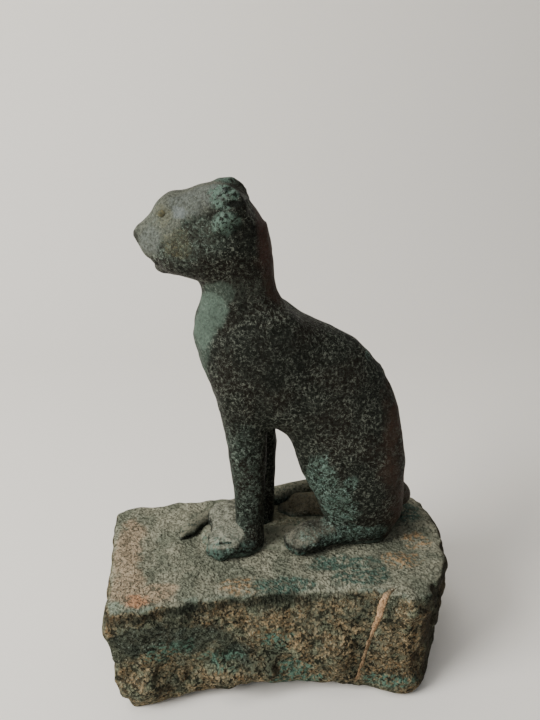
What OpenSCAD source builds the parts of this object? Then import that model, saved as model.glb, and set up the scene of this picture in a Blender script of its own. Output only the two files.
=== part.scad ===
// Seated cat, a hollow bronze casting on a rough stone plinth.
// The cat faces -X and its left side is towards -Y. +Z is up and the
// origin is at the middle of the underside of the plinth.

/* [Plinth] */
// Length of the plinth, along the cat
plinth_length = 145; // [140:1:150]
// Depth of the plinth, across the cat
plinth_depth = 78; // [76:1:82]
// Height of the plinth
plinth_height = 50; // [46:1:56]
// Rise of the hollow worn under the plinth
arch_rise = 5; // [2:0.5:7]
// Depth of the pocket that the bedding mortar fills
bed_depth = 2.5; // [1.5:0.5:4]

/* [Broken corner] */
// Width of the filled joint between the plinth and its corner
joint_gap = 1.6; // [1:0.2:2.4]
// Turn of the break, seen from above
break_turn = 38; // [34:1:42]
// Lean of the break away from upright
break_lean = 12; // [6:1:16]

/* [Cat] */
// Distance of the cat's middle plane behind the middle of the plinth
cat_y = 10.5; // [9:0.5:12]
// Thickness of the bronze round the clay core
wall = 3.5; // [2.5:0.5:4]
// How far the right foreleg stands behind the left one
leg_set_back = 5; // [2:0.5:6]
// Turn of the head away from the left side
head_turn = 6; // [0:1:10]
// Width of an inlaid eye
eye_width = 6; // [4:0.5:7]

/* [Fixings] */
// Radius of the round tenons under the cat
tenon_r = 2.5; // [2:0.5:3]
// Thickness of the grout round each tenon
grout = 1.5; // [1:0.5:2]
// How deep each tenon goes into the plinth
tenon_depth = 14; // [8:1:20]
// How far each tenon goes up into the bronze
tenon_rise = 9; // [6:1:12]
// Radius of the iron pins that held the core
pin_r = 1; // [0.8:0.1:1.2]

/* [Hidden] */

bronze = [0.16, 0.20, 0.17];
stone = [0.38, 0.40, 0.32];
LEFT = -1;
RIGHT = 1;

// Cross-sections of the trunk and neck: height, front, back, half width
trunk = [
    [2, 27, 56, 12], [10, 21, 57.5, 15], [22, 15.5, 55.5, 16],
    [38, 9, 53.5, 16.5], [50, 3, 51.8, 16.5], [58, -13, 49.6, 16.5],
    [66, -23, 47, 16.5], [76, -28.5, 42, 16], [85, -31.4, 35, 15],
    [91, -32, 27.7, 14], [96, -32, 18, 12.8], [100, -31.4, 8.5, 11.8],
    [105, -30, 2, 11], [110, -28.8, -0.2, 10.6], [116, -28.6, -1.6, 10.6],
    [122, -28, -2.2, 11], [130, -25, -4.6, 11], [137, -21, -8, 8]
];

// Cross-sections of the head: distance along the cat, chin, crown, half width
head = [
    [-4, 127, 136, 6], [-10, 122, 142, 11.4], [-17, 118, 146, 13.8],
    [-25, 116.3, 147, 14.2], [-33, 116.5, 146.9, 13], [-39, 116.6, 145.2, 11],
    [-43, 117.3, 142.3, 9], [-46.5, 120.6, 138.4, 7.2], [-50.3, 126, 134.8, 4.8],
    [-52, 129.8, 132.8, 2]
];

// Cross-sections of a foreleg: height, front, back, half width
foreleg = [
    [0, -17.8, -6.8, 5.8], [14, -17.8, -6.8, 5.8], [30, -18.6, -6.2, 6.1],
    [45, -20.2, -5.2, 6.7], [60, -22.6, -4, 7.4], [76, -26.5, -3, 7.6],
    [84, -23, -6, 5], [92, -17, -8, 1.5]
];
foreleg_y = 8.4;

// The part of the core inside the head: middle, height, tilt, half height, half width
head_core = [
    [-15.2, 118, 10, 9.8, 7], [-17.5, 126, 38, 9.4, 8.6],
    [-22, 131, 68, 10.2, 10], [-29, 132, 88, 11, 9.4], [-36, 131.6, 90, 9, 7],
    [-41, 131, 90, 5.5, 4], [-43, 131, 90, 2, 1.5]
];

// Middle line of the tail: x, y from the cat's middle plane, height, radius
tail_line = [
    [50, 2, 20, 4.6], [55.5, 6, 12, 6], [57, 12.5, 6.5, 6],
    [51, 19.5, 5, 5.8], [40, 22.2, 4.6, 5.6], [24, 22.4, 4.4, 5.5],
    [8, 21.6, 4.2, 5.4], [-6, 19.4, 4, 5.1], [-20, 15, 3.8, 4.7],
    [-31, 8.6, 3.4, 4.2], [-38, 1.6, 2.8, 3.2], [-41.5, -2.6, 2, 1.6]
];

// Where the tenons stand: x and y from the cat's middle plane
left_fore_at = [-12.3, LEFT * foreleg_y];
right_fore_at = [-12.3 + leg_set_back, RIGHT * foreleg_y];
rear_at = [44, 0];

// Where the core pins cross the wall: x, height and how far in the skin is
pins = [[30, 62, 14], [-8, 82, 14], [36, 30, 17.2], [-24, 134, 12.6]];
pin_length = 9;

// Points round a section, as an oval with fuller shoulders
oval_power = 0.88;
function bulge(v) = sign(v) * pow(abs(v), oval_power);

// A value part of the way between the second and third of four
function glide(a, b, c, d, t) = b + 0.5 * t * (c - a
    + t * (2 * a - 5 * b + 4 * c - d + t * (3 * (b - c) + d - a)));
function held(list, i) = list[max(0, min(len(list) - 1, i))];
function smooth(list, steps) = [
    for (i = [0:len(list) - 2], k = [0:steps - 1])
        glide(held(list, i - 1), list[i], list[i + 1], held(list, i + 2), k / steps),
    list[len(list) - 1]
];

// A station is x, y, z, tilt towards -X, half depth and half width
function ring(s, sides) = [
    for (k = [0:sides - 1])
        let (u = s[4] * bulge(cos(360 * k / sides)),
            v = s[5] * bulge(sin(360 * k / sides)))
        [s[0] + u * cos(s[3]), s[1] + v, s[2] + u * sin(s[3])]
];
function level_station(c) = [(c[1] + c[2]) / 2, 0, c[0], 0, (c[2] - c[1]) / 2, c[3]];
function upright_station(c) = [c[0], 0, (c[1] + c[2]) / 2, 90, (c[2] - c[1]) / 2, c[3]];
function core_station(c) = [(c[1] + c[2]) / 2, 0, c[0], 0, (c[2] - c[1]) / 2 - wall,
    c[3] - wall];

// A closed skin over rings of points that all have the same number of sides
module skin(rings) {
    sides = len(rings[0]);
    last = len(rings) - 1;
    walls = [
        for (i = [0:last - 1], k = [0:sides - 1], half = [0, 1])
            let (a = i * sides + k, b = i * sides + (k + 1) % sides)
            half == 0 ? [a, a + sides, b] : [b, a + sides, b + sides]
    ];
    ends = [
        [for (k = [0:sides - 1]) k],
        [for (k = [0:sides - 1]) last * sides + sides - 1 - k]
    ];
    polyhedron(points = [for (r = rings, p = r) p], faces = concat(walls, ends));
}

module loft(stations, steps, sides) {
    skin([for (s = smooth(stations, steps)) ring(s, sides)]);
}

module in_cat_place() translate([0, cat_y, plinth_height]) children();

module turned_head() {
    neck = [-14, 0, 118];
    translate(neck) rotate(-head_turn) translate(-neck) children();
}

module ball(at, size, facets = 16) translate(at) scale(size) sphere(r = 1, $fn = facets);

module cat_foreleg(side, set_back) {
    top = foreleg[len(foreleg) - 1][0];
    translate([0, side * foreleg_y, 0])
        loft([for (c = foreleg) level_station(c) + [set_back * (1 - c[0] / top), 0, 0, 0, 0, 0]],
            2, 16);
}

module paw(at, turn) {
    translate(at) rotate(turn) {
        hull() {
            ball([0, 0, 5], [6.4, 6, 6]);
            ball([-10, 0, 3.6], [5.4, 6.4, 4.6]);
        }
        for (k = [-1.5:1:1.5]) hull() {
            ball([-6, k * 3, 4], [3, 2.2, 4], 8);
            ball([-13.6 + abs(k), k * 3.4, 2.6], [2.6, 1.9, 3], 8);
        }
    }
}

module hind_leg(side) {
    ball([32, side * 8.5, 30], [21.5, 9.6, 31], 24);
    hull() {
        ball([24, side * 10, 22], [11, 8, 16]);
        ball([24, side * 11, 6], [7, 5, 6]);
    }
    hull() {
        ball([47, side * 8, 5.5], [7, 5.2, 6]);
        ball([22, side * 11, 5.5], [6, 5.6, 6]);
    }
    hull() {
        ball([22, side * 11, 5.5], [6, 5.6, 6]);
        ball([11, side * 12.6, 4.8], [6, 6, 5.4]);
    }
    paw([18, side * 11.8, 0.6], side * -8);
}

module ear(side) {
    hull() {
        ball([-22, side * 8, 145.4], [4, 2.4, 3]);
        ball([-18.6, side * 8.4, 147.6], [2.4, 2, 2.4]);
        ball([-13, side * 9.4, 142], [3.4, 3, 4]);
        ball([-19, side * 12, 137], [3.4, 2.6, 4]);
    }
}

module eye_lens(side) {
    lens_r = 4.4;
    sink = sqrt(pow(lens_r, 2) - pow(eye_width / 2, 2));
    turned_head() translate([-39.8, side * 8.3, 139.6]) rotate([90 + side * 20, 0, side * 28])
        intersection() {
            translate([0, 0, sink]) sphere(r = lens_r, $fn = 40);
            translate([0, 0, -sink]) sphere(r = lens_r, $fn = 40);
        }
}

module cat_surface() {
    loft([for (c = trunk) level_station(c)], 2, 28);
    turned_head() {
        loft([for (c = head) upright_station(c)], 2, 24);
        ear(LEFT);
        ear(RIGHT);
    }
    cat_foreleg(LEFT, 0);
    cat_foreleg(RIGHT, leg_set_back);
    paw([-14, LEFT * 9.2, 0], 6);
    paw([-14 + leg_set_back, RIGHT * 9.2, 0], -4);
    hind_leg(LEFT);
    hind_leg(RIGHT);
}

module cavity() {
    lowest = core_station(trunk[2]);
    loft(concat(
        [lowest + [0, 0, -8, 0, -11, -8], lowest + [0, 0, -6, 0, -4, -3]],
        [for (c = trunk) if (c[0] >= 22 && c[0] <= 110) core_station(c)],
        [for (h = head_core) [h[0], 0, h[1], h[2], h[3], h[4]]]), 1, 24);
}

module each_pin() {
    for (p = pins, side = [LEFT, RIGHT])
        translate([p[0], side * p[2], p[1]]) rotate([side * 90, 0, 0])
            cylinder(r = pin_r, h = pin_length, $fn = 16);
}

function tail_ring(list, i, sides) =
    let (s = list[i], way = held(list, i + 1) - held(list, i - 1),
        across = [-way[1], way[0], 0] / norm([way[0], way[1]]),
        along = [way[0], way[1], way[2]] / norm([way[0], way[1], way[2]]),
        up = cross(across, along) * -1)
    [for (k = [0:sides - 1])
        let (p = [s[0], s[1], s[2]] + s[3] * (across * cos(360 * k / sides)
                + up * sin(360 * k / sides)))
        [p[0], p[1], max(0, p[2])]];

module tail_body() {
    line = smooth(tail_line, 3);
    skin([for (i = [0:len(line) - 1]) tail_ring(line, i, 18)]);
}

module tenon_post(at, r, below) {
    translate([at[0], at[1], -below]) cylinder(r = r, h = below + tenon_rise, $fn = 40);
}

module grout_sleeve(at) {
    depth = tenon_depth + grout;
    difference() {
        translate([at[0], at[1], -depth]) cylinder(r = tenon_r + grout, h = depth, $fn = 40);
        tenon_post(at, tenon_r, tenon_depth);
    }
}

module bed_shape() {
    hull() {
        translate([-27, 4]) circle(r = 15, $fn = 48);
        translate([6, -1]) circle(r = 12, $fn = 48);
        translate([44, 5]) circle(r = 13, $fn = 48);
        translate([44, 15]) circle(r = 12, $fn = 48);
        translate([-14, 15]) circle(r = 12, $fn = 48);
    }
}

module grout_bores() {
    depth = tenon_depth + grout;
    for (at = [left_fore_at, right_fore_at, rear_at])
        translate([at[0], at[1], -depth])
            cylinder(r = tenon_r + grout, h = depth + 1, $fn = 40);
}

// The block is the overlap of its plan, its front view and its end view
module plinth_plan() {
    half = plinth_length / 2;
    back = plinth_depth / 2;
    polygon([
        [-half + 4, -back + 4], [-52, -back + 5], [-33, -back + 7], [5, -back + 6.4],
        [35, -back + 3.6], [48, -back], [56, -back + 5.6], [69, -back + 28],
        [half, -back + 41], [half - 0.6, back - 22], [half - 6, back - 5],
        [42, back], [0, back], [-34, back - 2], [-60, back - 6], [-half, back - 14]
    ]);
}

module plinth_front_view() {
    half = plinth_length / 2;
    polygon([
        [-half + 12, 0], [-half + 7, 5], [-half + 2.5, 20], [-half, 36],
        [-half, plinth_height - 4], [-half + 3, plinth_height],
        [half - 3, plinth_height], [half, plinth_height - 6], [half, 30],
        [half - 4, 12], [half - 11, 0]
    ]);
}

module plinth_end_view() {
    back = plinth_depth / 2;
    polygon([
        [-back + 3, 0], [-back, 12], [-back, plinth_height - 8],
        [-back + 3, plinth_height - 1.5], [-back + 6, plinth_height],
        [back - 2, plinth_height], [back, plinth_height - 6], [back, 8], [back - 4, 0]
    ]);
}

module plinth_block() {
    arch_half = 48;
    arch_r = (pow(arch_half, 2) + pow(arch_rise, 2)) / (2 * arch_rise);
    difference() {
        intersection() {
            linear_extrude(plinth_height) plinth_plan();
            rotate([90, 0, 0]) linear_extrude(2 * plinth_depth, center = true)
                plinth_front_view();
            rotate([90, 0, 90]) linear_extrude(2 * plinth_length, center = true)
                plinth_end_view();
        }
        translate([-6, 0, arch_rise - arch_r]) rotate([90, 0, 0])
            cylinder(r = arch_r, h = 2 * plinth_depth, center = true, $fn = 180);
    }
}

// Everything on the corner's side of the break, starting a distance past it
module past_the_break(distance) {
    size = 200;
    translate([30, -plinth_depth / 2 + 2, plinth_height / 2]) rotate(break_turn)
        rotate([0, 0, -90]) rotate([0, break_lean, 0])
            translate([distance, -size / 2, -size / 2]) cube(size);
}

module bedded() {
    translate([0, cat_y, plinth_height - bed_depth]) linear_extrude(bed_depth + 1)
        bed_shape();
}

module cat_casting() {
    color(bronze) in_cat_place() difference() {
        cat_surface();
        translate([-100, -100, -40]) cube([200, 200, 40]);
        cavity();
        each_pin();
        tail_body();
        eye_lens(LEFT);
        eye_lens(RIGHT);
        tenon_post(left_fore_at, tenon_r, 1);
        tenon_post(right_fore_at, tenon_r, 1);
        tenon_post(rear_at, tenon_r, 1);
    }
}

module tail() {
    color([0.22, 0.25, 0.20]) in_cat_place() tail_body();
}

module left_eye_inlay() {
    color([0.50, 0.42, 0.20]) in_cat_place() eye_lens(LEFT);
}

module right_eye_inlay() {
    color([0.50, 0.42, 0.20]) in_cat_place() eye_lens(RIGHT);
}

module casting_core() {
    color([0.25, 0.20, 0.16]) in_cat_place() difference() {
        cavity();
        each_pin();
    }
}

module core_pins() {
    color([0.35, 0.20, 0.12]) in_cat_place() each_pin();
}

module left_fore_tenon() {
    color([0.45, 0.33, 0.15]) in_cat_place() tenon_post(left_fore_at, tenon_r, tenon_depth);
}

module right_fore_tenon() {
    color([0.45, 0.33, 0.15]) in_cat_place() tenon_post(right_fore_at, tenon_r, tenon_depth);
}

module rear_tenon() {
    color([0.45, 0.33, 0.15]) in_cat_place() tenon_post(rear_at, tenon_r, tenon_depth);
}

module tenon_grout() {
    color([0.75, 0.70, 0.60]) in_cat_place() {
        grout_sleeve(left_fore_at);
        grout_sleeve(right_fore_at);
        grout_sleeve(rear_at);
    }
}

module bedding_mortar() {
    color([0.50, 0.50, 0.42]) difference() {
        translate([0, cat_y, plinth_height - bed_depth]) linear_extrude(bed_depth)
            bed_shape();
        in_cat_place() grout_bores();
    }
}

module plinth() {
    color(stone) difference() {
        plinth_block();
        past_the_break(0);
        bedded();
        in_cat_place() grout_bores();
    }
}

module plinth_corner() {
    color([0.42, 0.38, 0.30]) intersection() {
        plinth_block();
        past_the_break(joint_gap);
    }
}

module corner_joint_fill() {
    color([0.62, 0.45, 0.30]) difference() {
        intersection() {
            plinth_block();
            past_the_break(0);
        }
        past_the_break(joint_gap);
    }
}

cat_casting();
tail();
left_eye_inlay();
right_eye_inlay();
casting_core();
core_pins();
left_fore_tenon();
right_fore_tenon();
rear_tenon();
tenon_grout();
bedding_mortar();
plinth();
plinth_corner();
corner_joint_fill();
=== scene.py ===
import math

import bpy
import numpy as np
import openvdb as vdb
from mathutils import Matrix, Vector


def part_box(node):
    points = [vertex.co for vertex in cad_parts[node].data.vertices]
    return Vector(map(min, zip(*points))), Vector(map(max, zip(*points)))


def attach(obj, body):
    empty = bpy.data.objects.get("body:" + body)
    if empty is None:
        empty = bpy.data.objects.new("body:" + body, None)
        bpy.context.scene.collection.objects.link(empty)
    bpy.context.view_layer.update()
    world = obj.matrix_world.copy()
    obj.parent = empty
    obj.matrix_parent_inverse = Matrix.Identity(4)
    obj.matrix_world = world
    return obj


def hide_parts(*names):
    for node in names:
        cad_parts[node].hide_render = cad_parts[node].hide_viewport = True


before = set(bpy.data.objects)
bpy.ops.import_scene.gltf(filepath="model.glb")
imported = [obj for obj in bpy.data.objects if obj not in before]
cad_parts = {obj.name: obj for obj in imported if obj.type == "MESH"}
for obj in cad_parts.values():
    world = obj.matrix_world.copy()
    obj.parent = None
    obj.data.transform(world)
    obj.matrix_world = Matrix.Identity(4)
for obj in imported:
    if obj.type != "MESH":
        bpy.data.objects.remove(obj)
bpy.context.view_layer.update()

# ---------------- places, in millimetres
MM = 0.001


def new_object(name, data):
    """An object with the data, put in the scene."""
    thing = bpy.data.objects.new(name, data)
    bpy.context.scene.collection.objects.link(thing)
    return thing


def box_mm(node):
    low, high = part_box(node)
    return np.array(low) / MM, np.array(high) / MM


TOP = box_mm("plinth")[1][2]
CAT_Y = sum(box_mm("rear_tenon"))[1] / 2
CAT_AT = np.array([0.0, CAT_Y, TOP])
LEFT, RIGHT = -1, 1
HEAD_TURN = math.radians(6)
HEAD_PIVOT = (-14.0, 0.0)

# ---------------- clay: shapes pressed into voxels
FAR = 40.0
MARGIN = 4  # room around a form of sections, for its blends
TURN_SPREAD = 8  # more than the head's turn moves any of its shapes
NEAR = 2  # how far past its blend a shape is worked out
BAND = 3  # voxels of distance kept on each side of a surface
LUMP_PEAK = 2.2  # makes the smoothed lumps reach about 1
THINNEST = 0.3  # half width or depth of a form at its ends


def smooth_min(a, b, blend):
    if blend <= 0:
        return np.minimum(a, b)
    h = np.maximum(blend - np.abs(a - b), 0) / blend
    return np.minimum(a, b) - h * h * blend / 4


def smooth_max(a, b, blend):
    return -smooth_min(-a, -b, blend)


def curve_through(rows, at):
    """Each column of rows, eased through its values in the first column, at the places asked for."""
    rows = np.array(rows, float)
    t, values = rows[:, 0], rows[:, 1:]
    slopes = np.gradient(values, t, axis=0)
    i = np.clip(np.searchsorted(t, at) - 1, 0, len(t) - 2)
    step = (t[i + 1] - t[i])[:, None]
    u = np.clip((at - t[i]) / (t[i + 1] - t[i]), 0, 1)[:, None]
    return (
        values[i] * (1 + 2 * u) * (1 - u) ** 2
        + slopes[i] * step * u * (1 - u) ** 2
        + values[i + 1] * u * u * (3 - 2 * u)
        + slopes[i + 1] * step * u * u * (u - 1)
    ).T


def outline_distance(points, u, v):
    """Distance of the places u, v from a closed outline, below 0 inside it."""
    nearest = np.full(np.broadcast_shapes(u.shape, v.shape), 1e6)
    inside = np.zeros(nearest.shape, bool)
    for (au, av), (bu, bv) in zip(points, points[1:] + points[:1]):
        eu, ev = bu - au, bv - av
        t = np.clip(((u - au) * eu + (v - av) * ev) / (eu * eu + ev * ev), 0, 1)
        nearest = np.minimum(nearest, np.hypot(u - au - t * eu, v - av - t * ev))
        if ev:
            inside ^= ((av > v) != (bv > v)) & (u < au + (v - av) * eu / ev)
    return np.where(inside, -nearest, nearest)


class Ball:
    """An ellipsoid, turned about Z by an angle in degrees and then tipped about Y."""

    def __init__(self, at, radii, turn=0.0, tip=0.0):
        self.at, self.radii = np.array(at, float), np.array(radii, float)
        self.turn, self.tip = math.radians(turn), math.radians(tip)
        reach = max(radii)
        self.low, self.high = self.at - reach, self.at + reach

    def distance(self, x, y, z):
        x, y, z = x - self.at[0], y - self.at[1], z - self.at[2]
        c, s = math.cos(self.turn), math.sin(self.turn)
        x, y = c * x + s * y, c * y - s * x
        c, s = math.cos(self.tip), math.sin(self.tip)
        x, z = c * x + s * z, c * z - s * x
        r = self.radii
        k = np.sqrt((x / r[0]) ** 2 + (y / r[1]) ** 2 + (z / r[2]) ** 2)
        slope = np.sqrt((x / r[0] ** 2) ** 2 + (y / r[1] ** 2) ** 2 + (z / r[2] ** 2) ** 2)
        return k * (k - 1) / np.maximum(slope, 1e-6)


class Limb:
    """A chain of rounded cones through points, each x, y, z and radius."""

    def __init__(self, points, flat=1.0):
        self.points, self.flat = np.array(points, float), flat
        reach = self.points[:, 3:].max()
        self.low = self.points[:, :3].min(axis=0) - reach
        self.high = self.points[:, :3].max(axis=0) + reach

    def distance(self, x, y, z):
        best = None
        for a, b in zip(self.points[:-1], self.points[1:]):
            way = b[:3] - a[:3]
            way[2] /= self.flat
            px, py, pz = x - a[0], y - a[1], (z - a[2]) / self.flat
            t = np.clip((px * way[0] + py * way[1] + pz * way[2]) / (way @ way), 0, 1)
            gap = np.sqrt((px - t * way[0]) ** 2 + (py - t * way[1]) ** 2 + (pz - t * way[2]) ** 2)
            part = gap - (a[3] + t * (b[3] - a[3]))
            best = part if best is None else np.minimum(best, part)
        return best


class Column:
    """A form given by level oval sections: height, front, back, middle y and half width.

    power is their squareness, and egg above 0 makes them narrower at the back.
    """

    def __init__(self, rows, egg=0.0, power=2.2):
        self.rows, self.egg, self.power = np.array(rows, float), egg, power
        r = self.rows
        wide = r[:, 4].max()
        self.low = np.array([r[:, 1].min(), r[:, 3].min() - wide, r[0, 0]]) - MARGIN
        self.high = np.array([r[:, 2].max(), r[:, 3].max() + wide, r[-1, 0]]) + MARGIN

    def along(self, x, y, z):
        return x, y, z

    def distance(self, x, y, z):
        x, y, z = self.along(x, y, z)
        front, back, middle, half = (c.reshape(z.shape) for c in curve_through(self.rows, z.ravel()))
        depth, half = np.maximum((back - front) / 2, THINNEST), np.maximum(half, THINNEST)
        u = (x - (front + back) / 2) / depth
        v = (y - middle) / (half * (1 - self.egg * np.clip(u, -1, 1)))
        p = self.power
        k = (np.abs(u) ** p + np.abs(v) ** p) ** (1 / p)
        side = (k - 1) * np.minimum(depth, half)
        ends = np.maximum(z - self.rows[-1, 0], self.rows[0, 0] - z)
        return np.maximum(side, ends)


class Snout(Column):
    """The same, lying down: x, lowest, highest, middle y and half width."""

    def __init__(self, rows, egg=0.0, power=2.2):
        super().__init__(rows, egg, power)
        self.low, self.high = self.low[::-1], self.high[::-1]

    def along(self, x, y, z):
        return z, y, x


class Turned:
    """A shape of the head, turned with it about the neck."""

    def __init__(self, shape):
        self.shape = shape
        self.low, self.high = shape.low - TURN_SPREAD, shape.high + TURN_SPREAD

    def distance(self, x, y, z):
        c, s = math.cos(HEAD_TURN), math.sin(HEAD_TURN)
        px, py = x - HEAD_PIVOT[0], y - HEAD_PIVOT[1]
        hx, hy = c * px - s * py + HEAD_PIVOT[0], s * px + c * py + HEAD_PIVOT[1]
        return self.shape.distance(hx, hy, z)


def without_crumbs(points, quads):
    """The largest connected surface alone: each corner takes the lowest number it can reach."""
    label = np.arange(len(points))
    while True:
        lowest = label[quads].min(axis=1)
        reached = label.copy()
        for corner in quads.T:
            np.minimum.at(reached, corner, lowest)
        reached = reached[reached]
        if np.array_equal(reached, label):
            break
        label = reached
    kept = label == np.bincount(label).argmax()
    return points[kept], (np.cumsum(kept) - 1)[quads[kept[quads[:, 0]]]]


class Clay:
    """A block of voxels, pitch mm apart, that shapes are added to and cut from. Inside is negative."""

    def __init__(self, low, high, pitch):
        self.low, self.high, self.pitch = np.array(low, float), np.array(high, float), pitch
        self.count = np.ceil((self.high - self.low) / pitch).astype(int) + 1
        self.field = np.full(self.count, FAR, np.float32)

    def window(self, low, high, margin):
        """The part of the voxels round a box, and the places in it."""
        first = np.floor((low - margin - self.low) / self.pitch).astype(int)
        last = np.ceil((high + margin - self.low) / self.pitch).astype(int) + 1
        first, last = np.clip(first, 0, self.count), np.clip(last, 0, self.count)
        part = tuple(slice(a, b) for a, b in zip(first, last))
        x, y, z = (self.low[i] + self.pitch * np.arange(first[i], last[i]) for i in range(3))
        return part, x[:, None, None], y[None, :, None], z[None, None, :]

    def add(self, shape, blend=0.0):
        part, x, y, z = self.window(shape.low, shape.high, blend + NEAR)
        self.field[part] = smooth_min(self.field[part], shape.distance(x, y, z), blend)

    def cut(self, shape, blend=0.0):
        part, x, y, z = self.window(shape.low, shape.high, blend + NEAR)
        self.field[part] = -smooth_min(-self.field[part], shape.distance(x, y, z), blend)

    def above(self, height):
        """Keeps only what is above the height."""
        z = self.low[2] + self.pitch * np.arange(self.count[2])
        self.field = np.maximum(self.field, (height - z)[None, None, :].astype(np.float32))

    def lumps(self, size, seed):
        """Smooth noise over the block, about -1 to 1, with lumps size mm across."""
        cells = np.ceil((self.high - self.low) / size).astype(int) + 4  # a place takes in 4 cells
        values = np.random.default_rng(seed).uniform(-LUMP_PEAK, LUMP_PEAK, cells).astype(np.float32)
        for axis in range(3):
            t = self.pitch * np.arange(self.count[axis]) / size
            first, u = np.floor(t).astype(int), t % 1
            first = np.minimum(first, cells[axis] - 4)
            taps = np.zeros((self.count[axis], cells[axis]), np.float32)
            row = np.arange(self.count[axis])
            taps[row, first] = (1 - u) ** 3 / 6
            taps[row, first + 1] = (3 * u**3 - 6 * u**2 + 4) / 6
            taps[row, first + 2] = (-3 * u**3 + 3 * u**2 + 3 * u + 1) / 6
            taps[row, first + 3] = u**3 / 6
            values = np.moveaxis(np.tensordot(taps, values, axes=(1, axis)), 0, axis)
        return values

    def roughen(self, layers, share=1.0):
        """Adds lumps to the surface, each layer a size, a depth and a seed."""
        for size, depth, seed in layers:
            self.field += self.lumps(size, seed) * (depth * share)

    def places(self):
        steps = [self.low[i] + self.pitch * np.arange(self.count[i]) for i in range(3)]
        return steps[0][:, None, None], steps[1][None, :, None], steps[2][None, None, :]

    def mesh(self, name, offset=(0, 0, 0)):
        grid = vdb.FloatGrid(FAR)
        grid.copyFromArray(np.clip(self.field, -BAND * self.pitch, BAND * self.pitch))
        points, quads = without_crumbs(*grid.convertToQuads(isovalue=0.0))
        points = (points * self.pitch + self.low + offset) * MM
        mesh = bpy.data.meshes.new(name)
        mesh.vertices.add(len(points))
        mesh.vertices.foreach_set("co", points.astype(np.float32).ravel())
        mesh.loops.add(4 * len(quads))
        mesh.polygons.add(len(quads))
        mesh.loops.foreach_set("vertex_index", quads[:, ::-1].astype(np.int32).ravel())
        mesh.polygons.foreach_set("loop_start", 4 * np.arange(len(quads), dtype=np.int32))
        mesh.polygons.foreach_set("use_smooth", np.ones(len(quads), bool))
        mesh.update(calc_edges=True)
        mesh.validate()
        return new_object(name, mesh)


# ---------------- the cat
# Heights are above the plinth and y is from the cat's middle plane.
TRUNK = [
    (0, 26, 48, 0, 10), (6, 23.6, 51, 0, 12.5), (14, 20, 53.6, 0, 14.5), (22, 17, 53.6, 0, 15.5),
    (31, 13, 52.6, 0, 16), (40, 9, 51.6, 0, 16.3), (50, 3.5, 49.8, 0, 16.4),
    (57, -9, 48.4, 0, 16.4), (62, -19, 47.2, 0, 16.4), (68, -24.4, 45.4, 0, 16.2),
    (76, -28.2, 42.0, 0, 15.8), (84, -31.0, 36.0, 0, 15.0), (90, -32.0, 28.8, 0, 14.0),
    (94.5, -32.0, 21.0, 0, 12.9), (98, -31.4, 12.4, 0, 11.9), (101, -30.8, 5.8, 0, 11.3),
    (105, -29.6, 2.2, 0, 10.7), (110, -28.8, 0.2, 0, 10.3), (116, -29.2, -0.9, 0, 10.4),
    (122, -29.0, -1.6, 0, 10.8), (130, -26, -3.4, 0, 10.8), (138, -22, -7.4, 0, 9.0),
    (143, -18, -11.0, 0, 5.6),
]
HEAD = [
    (-52.6, 130.2, 132.4, 0, 1.5), (-51.4, 128.2, 134.0, 0, 3.6), (-49.0, 124.8, 135.9, 0, 5.4),
    (-46.4, 121.6, 138.4, 0, 7.0), (-43.6, 118.4, 142.6, 0, 8.6), (-40.0, 116.6, 145.9, 0, 10.6),
    (-34, 116.2, 146.8, 0, 12.6), (-27, 116.2, 147.4, 0, 14.0), (-19, 117.4, 147.2, 0, 14.2),
    (-12.6, 120.6, 143.6, 0, 12.4), (-8, 125, 138.0, 0, 8.8), (-5.2, 129, 134.0, 0, 4.0),
]
FORELEG = [
    (0, -17.8, -6.6, -8.6, 5.9), (8, -17.9, -6.6, -8.5, 5.7), (16, -18.0, -6.4, -8.4, 5.7),
    (30, -18.8, -5.6, -8.3, 6.1), (45, -20.2, -4.8, -8.1, 6.7), (58, -22.2, -4.0, -7.9, 7.3),
    (70, -24.4, -2.6, -7.6, 7.9), (82, -26.2, -1.0, -7.0, 7.6), (94, -25.0, -2.0, -5.6, 6.2),
    (100, -22.0, -6.0, -4.6, 3.0),
]
THIGH = [
    (0, 25, 48, -8.0, 6.0), (8, 21.5, 51.0, -8.4, 7.4), (16, 18.4, 52.6, -8.8, 8.6),
    (24, 14.6, 52.8, -8.9, 9.4), (34, 10.8, 52.4, -8.6, 9.8), (44, 8.2, 50.8, -8.0, 9.4),
    (54, 7.6, 47.8, -7.2, 8.2), (64, 11, 43.6, -6.2, 6.4), (74, 18, 37, -5.4, 3.4),
]
LEG_SET_BACK = 6.2


def to_side(rows, side):
    """Points or spots as they are for side 1, mirrored for side -1."""
    return [(x, side * y, *rest) for x, y, *rest in rows]


def mirrored(rows, side):
    return [(t, a, b, -side * y, w) for t, a, b, y, w in rows]


def set_back(rows, side):
    """The right foreleg stands further back than the left, less so towards the shoulder."""
    if side == LEFT:
        return rows
    shift = [LEG_SET_BACK * min(1, (100 - z) / 45) for z, *_ in rows]
    return [(z, a + d, b + d, y, w) for (z, a, b, y, w), d in zip(rows, shift)]


# Lumps of the bronze skin: size across, depth and seed
SKIN = [(9, 0.3, 1), (4.2, 0.2, 2), (2.1, 0.13, 3)]


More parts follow.
